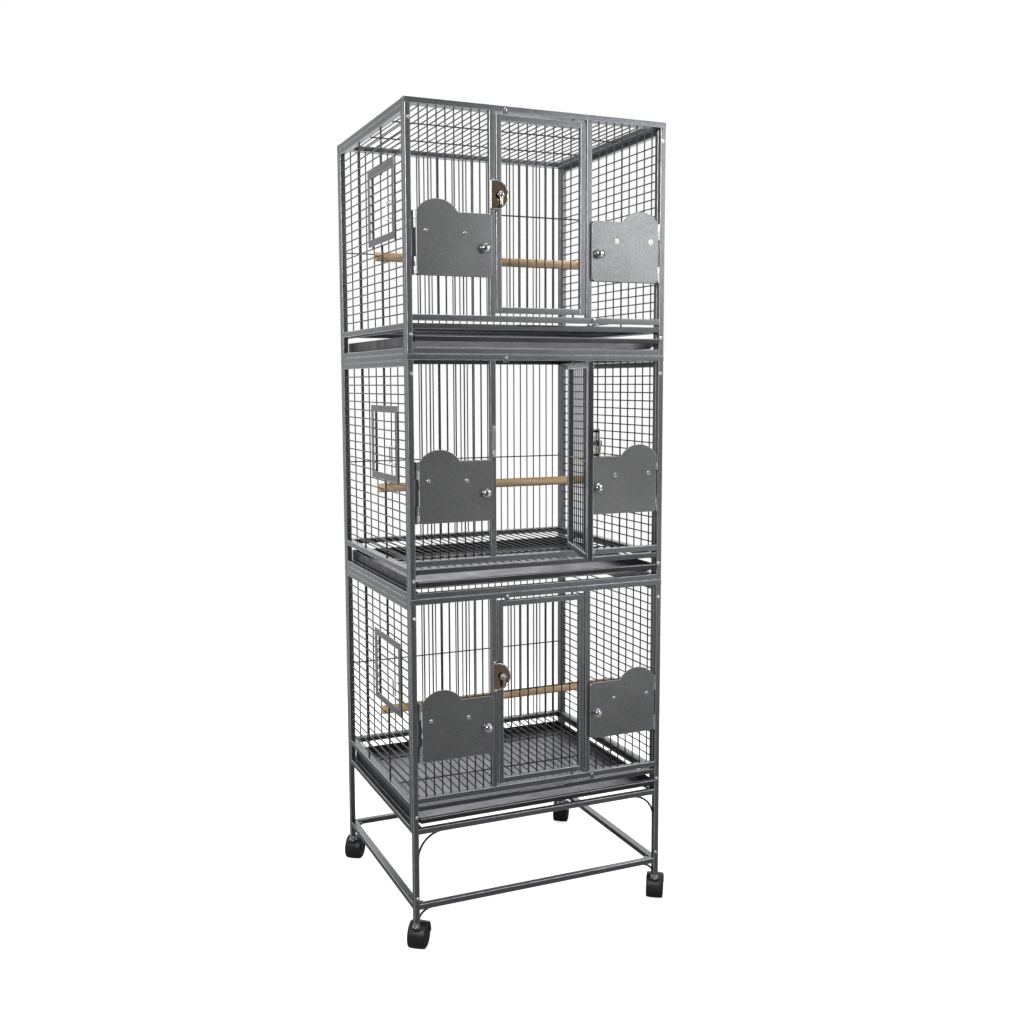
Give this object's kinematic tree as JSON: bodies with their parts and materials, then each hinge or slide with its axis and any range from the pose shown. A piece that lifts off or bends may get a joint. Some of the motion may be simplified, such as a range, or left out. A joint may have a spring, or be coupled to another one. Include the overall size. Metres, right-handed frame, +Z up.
{
  "type": "stacked cage on casters",
  "caption": "Tall stacked wire cage on a castored stand, with swinging doors, feeder doors, side nest-box doors, sliding grates and trays, and wooden perches.",
  "frame": {"origin": "on the floor, at the middle of the bounding box of the whole object at rest, with the middle tier's door standing open and the casters trailing to the back right", "axes": "+Z up, the doors face -Y, +X to the right of a person who faces the doors"},
  "size_m": [0.6631, 0.7586, 1.803],
  "materials": {
    "powder_coat": "hammertone grey powder coat",
    "sheet_plate": "hammertone grey powder coat on sheet",
    "tray_sheet": "satin grey powder coat on sheet",
    "chrome_fittings": "polished, lightly marked",
    "perch_wood": "bare turned pine",
    "black_plastic": "moulded, slightly glossy"
  },
  "bodies": {
    "cage": {"front_frame_1": "powder_coat", "rear_panel_1": "powder_coat", "left_side_panel_1": "powder_coat", "right_side_panel_1": "powder_coat", "roof_panel": "powder_coat", "perch_1": "perch_wood", "front_frame_2": "powder_coat", "rear_panel_2": "powder_coat", "left_side_panel_2": "powder_coat", "right_side_panel_2": "powder_coat", "perch_2": "perch_wood", "front_frame_3": "powder_coat", "rear_panel_3": "powder_coat", "left_side_panel_3": "powder_coat", "right_side_panel_3": "powder_coat", "perch_3": "perch_wood", "stretcher_frame": "powder_coat"},
    "main_door_1": {"main_door_1": "powder_coat"},
    "door_latch_1": {"door_latch_1": "chrome_fittings"},
    "left_feeder_door_1": {"left_feeder_door_1": "sheet_plate"},
    "left_feeder_knob_1": {"left_feeder_knob_1": "chrome_fittings"},
    "right_feeder_door_1": {"right_feeder_door_1": "sheet_plate"},
    "right_feeder_knob_1": {"right_feeder_knob_1": "chrome_fittings"},
    "nest_door_1": {"nest_door_1": "powder_coat"},
    "floor_grate_1": {"floor_grate_1": "powder_coat"},
    "tray_1": {"tray_1": "tray_sheet"},
    "door_stop_1": {"door_stop_1": "powder_coat"},
    "grate_clip_1": {"grate_clip_1": "powder_coat"},
    "main_door_2": {"main_door_2": "powder_coat"},
    "door_latch_2": {"door_latch_2": "chrome_fittings"},
    "left_feeder_door_2": {"left_feeder_door_2": "sheet_plate"},
    "left_feeder_knob_2": {"left_feeder_knob_2": "chrome_fittings"},
    "right_feeder_door_2": {"right_feeder_door_2": "sheet_plate"},
    "right_feeder_knob_2": {"right_feeder_knob_2": "chrome_fittings"},
    "nest_door_2": {"nest_door_2": "powder_coat"},
    "floor_grate_2": {"floor_grate_2": "powder_coat"},
    "tray_2": {"tray_2": "tray_sheet"},
    "door_stop_2": {"door_stop_2": "powder_coat"},
    "grate_clip_2": {"grate_clip_2": "powder_coat"},
    "main_door_3": {"main_door_3": "powder_coat"},
    "door_latch_3": {"door_latch_3": "chrome_fittings"},
    "left_feeder_door_3": {"left_feeder_door_3": "sheet_plate"},
    "left_feeder_knob_3": {"left_feeder_knob_3": "chrome_fittings"},
    "right_feeder_door_3": {"right_feeder_door_3": "sheet_plate"},
    "right_feeder_knob_3": {"right_feeder_knob_3": "chrome_fittings"},
    "nest_door_3": {"nest_door_3": "powder_coat"},
    "floor_grate_3": {"floor_grate_3": "powder_coat"},
    "tray_3": {"tray_3": "tray_sheet"},
    "door_stop_3": {"door_stop_3": "powder_coat"},
    "grate_clip_3": {"grate_clip_3": "powder_coat"},
    "caster_front_left": {"caster_front_left": "black_plastic"},
    "wheels_front_left": {"wheels_front_left": "black_plastic"},
    "caster_front_right": {"caster_front_right": "black_plastic"},
    "wheels_front_right": {"wheels_front_right": "black_plastic"},
    "caster_rear_left": {"caster_rear_left": "black_plastic"},
    "wheels_rear_left": {"wheels_rear_left": "black_plastic"},
    "caster_rear_right": {"caster_rear_right": "black_plastic"},
    "wheels_rear_right": {"wheels_rear_right": "black_plastic"}
  },
  "joints": [
    {"name": "main_door_1_swing", "type": "hinge", "parent": "cage", "child": "main_door_1", "pos_m": [0.0665, -0.18245, 1.581], "axis": [0, 0, 1], "range_deg": [0, 110]},
    {"name": "door_latch_1_turn", "type": "hinge", "parent": "main_door_1", "child": "door_latch_1", "pos_m": [-0.11015, -0.18245, 1.619], "axis": [0, 1, 0], "range_deg": [0, 90]},
    {"name": "left_feeder_door_1_swing", "type": "hinge", "parent": "cage", "child": "left_feeder_door_1", "pos_m": [-0.2987, -0.192, 1.514], "axis": [0, 0, 1], "range_deg": [-100, 0]},
    {"name": "left_feeder_knob_1_turn", "type": "hinge", "parent": "left_feeder_door_1", "child": "left_feeder_knob_1", "pos_m": [-0.1455, -0.1948, 1.508], "axis": [0, 1, 0], "range_deg": [0, 90]},
    {"name": "right_feeder_door_1_swing", "type": "hinge", "parent": "cage", "child": "right_feeder_door_1", "pos_m": [0.2767, -0.192, 1.514], "axis": [0, 0, 1], "range_deg": [0, 100]},
    {"name": "right_feeder_knob_1_turn", "type": "hinge", "parent": "right_feeder_door_1", "child": "right_feeder_knob_1", "pos_m": [0.1235, -0.1948, 1.508], "axis": [0, -1, 0], "range_deg": [0, 90]},
    {"name": "nest_door_1_swing", "type": "hinge", "parent": "cage", "child": "nest_door_1", "pos_m": [-0.3173, 0.0712, 1.612], "axis": [0, 0, 1], "range_deg": [-105, 0]},
    {"name": "floor_grate_1_slide", "type": "slide", "parent": "cage", "child": "floor_grate_1", "axis": [0, -1, 0], "range_m": [0, 0.4]},
    {"name": "tray_1_slide", "type": "slide", "parent": "cage", "child": "tray_1", "axis": [0, -1, 0], "range_m": [0, 0.42]},
    {"name": "door_stop_1_swivel", "type": "hinge", "parent": "cage", "child": "door_stop_1", "pos_m": [-0.096, -0.1888, 1.795], "axis": [0, 1, 0], "range_deg": [-90, 90]},
    {"name": "grate_clip_1_swivel", "type": "hinge", "parent": "cage", "child": "grate_clip_1", "pos_m": [0.115, -0.1888, 1.365], "axis": [0, 1, 0], "range_deg": [-90, 90]},
    {"name": "main_door_2_swing", "type": "hinge", "parent": "cage", "child": "main_door_2", "pos_m": [0.0665, -0.18245, 1.067], "axis": [0, 0, 1], "range_deg": [-75, 35]},
    {"name": "door_latch_2_turn", "type": "hinge", "parent": "main_door_2", "child": "door_latch_2", "pos_m": [0.02078, -0.35308, 1.105], "axis": [-0.9659, 0.2588, 0], "range_deg": [0, 90]},
    {"name": "left_feeder_door_2_swing", "type": "hinge", "parent": "cage", "child": "left_feeder_door_2", "pos_m": [-0.2987, -0.192, 1], "axis": [0, 0, 1], "range_deg": [-100, 0]},
    {"name": "left_feeder_knob_2_turn", "type": "hinge", "parent": "left_feeder_door_2", "child": "left_feeder_knob_2", "pos_m": [-0.1455, -0.1948, 0.994], "axis": [0, 1, 0], "range_deg": [0, 90]},
    {"name": "right_feeder_door_2_swing", "type": "hinge", "parent": "cage", "child": "right_feeder_door_2", "pos_m": [0.2767, -0.192, 1], "axis": [0, 0, 1], "range_deg": [0, 100]},
    {"name": "right_feeder_knob_2_turn", "type": "hinge", "parent": "right_feeder_door_2", "child": "right_feeder_knob_2", "pos_m": [0.1235, -0.1948, 0.994], "axis": [0, -1, 0], "range_deg": [0, 90]},
    {"name": "nest_door_2_swing", "type": "hinge", "parent": "cage", "child": "nest_door_2", "pos_m": [-0.3173, 0.0712, 1.098], "axis": [0, 0, 1], "range_deg": [-105, 0]},
    {"name": "floor_grate_2_slide", "type": "slide", "parent": "cage", "child": "floor_grate_2", "axis": [0, -1, 0], "range_m": [0, 0.4]},
    {"name": "tray_2_slide", "type": "slide", "parent": "cage", "child": "tray_2", "axis": [0, -1, 0], "range_m": [0, 0.42]},
    {"name": "door_stop_2_swivel", "type": "hinge", "parent": "cage", "child": "door_stop_2", "pos_m": [-0.096, -0.1888, 1.281], "axis": [0, 1, 0], "range_deg": [-90, 90]},
    {"name": "grate_clip_2_swivel", "type": "hinge", "parent": "cage", "child": "grate_clip_2", "pos_m": [0.115, -0.1888, 0.851], "axis": [0, 1, 0], "range_deg": [-90, 90]},
    {"name": "main_door_3_swing", "type": "hinge", "parent": "cage", "child": "main_door_3", "pos_m": [0.0665, -0.18245, 0.553], "axis": [0, 0, 1], "range_deg": [0, 110]},
    {"name": "door_latch_3_turn", "type": "hinge", "parent": "main_door_3", "child": "door_latch_3", "pos_m": [-0.11015, -0.18245, 0.591], "axis": [0, 1, 0], "range_deg": [0, 90]},
    {"name": "left_feeder_door_3_swing", "type": "hinge", "parent": "cage", "child": "left_feeder_door_3", "pos_m": [-0.2987, -0.192, 0.486], "axis": [0, 0, 1], "range_deg": [-100, 0]},
    {"name": "left_feeder_knob_3_turn", "type": "hinge", "parent": "left_feeder_door_3", "child": "left_feeder_knob_3", "pos_m": [-0.1455, -0.1948, 0.48], "axis": [0, 1, 0], "range_deg": [0, 90]},
    {"name": "right_feeder_door_3_swing", "type": "hinge", "parent": "cage", "child": "right_feeder_door_3", "pos_m": [0.2767, -0.192, 0.486], "axis": [0, 0, 1], "range_deg": [0, 100]},
    {"name": "right_feeder_knob_3_turn", "type": "hinge", "parent": "right_feeder_door_3", "child": "right_feeder_knob_3", "pos_m": [0.1235, -0.1948, 0.48], "axis": [0, -1, 0], "range_deg": [0, 90]},
    {"name": "nest_door_3_swing", "type": "hinge", "parent": "cage", "child": "nest_door_3", "pos_m": [-0.3173, 0.0712, 0.584], "axis": [0, 0, 1], "range_deg": [-105, 0]},
    {"name": "floor_grate_3_slide", "type": "slide", "parent": "cage", "child": "floor_grate_3", "axis": [0, -1, 0], "range_m": [0, 0.4]},
    {"name": "tray_3_slide", "type": "slide", "parent": "cage", "child": "tray_3", "axis": [0, -1, 0], "range_m": [0, 0.42]},
    {"name": "door_stop_3_swivel", "type": "hinge", "parent": "cage", "child": "door_stop_3", "pos_m": [-0.096, -0.1888, 0.767], "axis": [0, 1, 0], "range_deg": [-90, 90]},
    {"name": "grate_clip_3_swivel", "type": "hinge", "parent": "cage", "child": "grate_clip_3", "pos_m": [0.115, -0.1888, 0.337], "axis": [0, 1, 0], "range_deg": [-90, 90]},
    {"name": "caster_front_left_swivel", "type": "hinge", "parent": "cage", "child": "caster_front_left", "pos_m": [-0.30965, -0.18245, 0.058], "axis": [0, 0, 1], "continuous": true},
    {"name": "wheels_front_left_roll", "type": "hinge", "parent": "caster_front_left", "child": "wheels_front_left", "pos_m": [-0.29875, -0.16689, 0.027], "axis": [0.8192, -0.5736, 0], "continuous": true},
    {"name": "caster_front_right_swivel", "type": "hinge", "parent": "cage", "child": "caster_front_right", "pos_m": [0.28765, -0.18245, 0.058], "axis": [0, 0, 1], "continuous": true},
    {"name": "wheels_front_right_roll", "type": "hinge", "parent": "caster_front_right", "child": "wheels_front_right", "pos_m": [0.29855, -0.16689, 0.027], "axis": [0.8192, -0.5736, 0], "continuous": true},
    {"name": "caster_rear_left_swivel", "type": "hinge", "parent": "cage", "child": "caster_rear_left", "pos_m": [-0.30965, 0.32785, 0.058], "axis": [0, 0, 1], "continuous": true},
    {"name": "wheels_rear_left_roll", "type": "hinge", "parent": "caster_rear_left", "child": "wheels_rear_left", "pos_m": [-0.29875, 0.34341, 0.027], "axis": [0.8192, -0.5736, 0], "continuous": true},
    {"name": "caster_rear_right_swivel", "type": "hinge", "parent": "cage", "child": "caster_rear_right", "pos_m": [0.28765, 0.32785, 0.058], "axis": [0, 0, 1], "continuous": true},
    {"name": "wheels_rear_right_roll", "type": "hinge", "parent": "caster_rear_right", "child": "wheels_rear_right", "pos_m": [0.29855, 0.34341, 0.027], "axis": [0.8192, -0.5736, 0], "continuous": true}
  ]
}
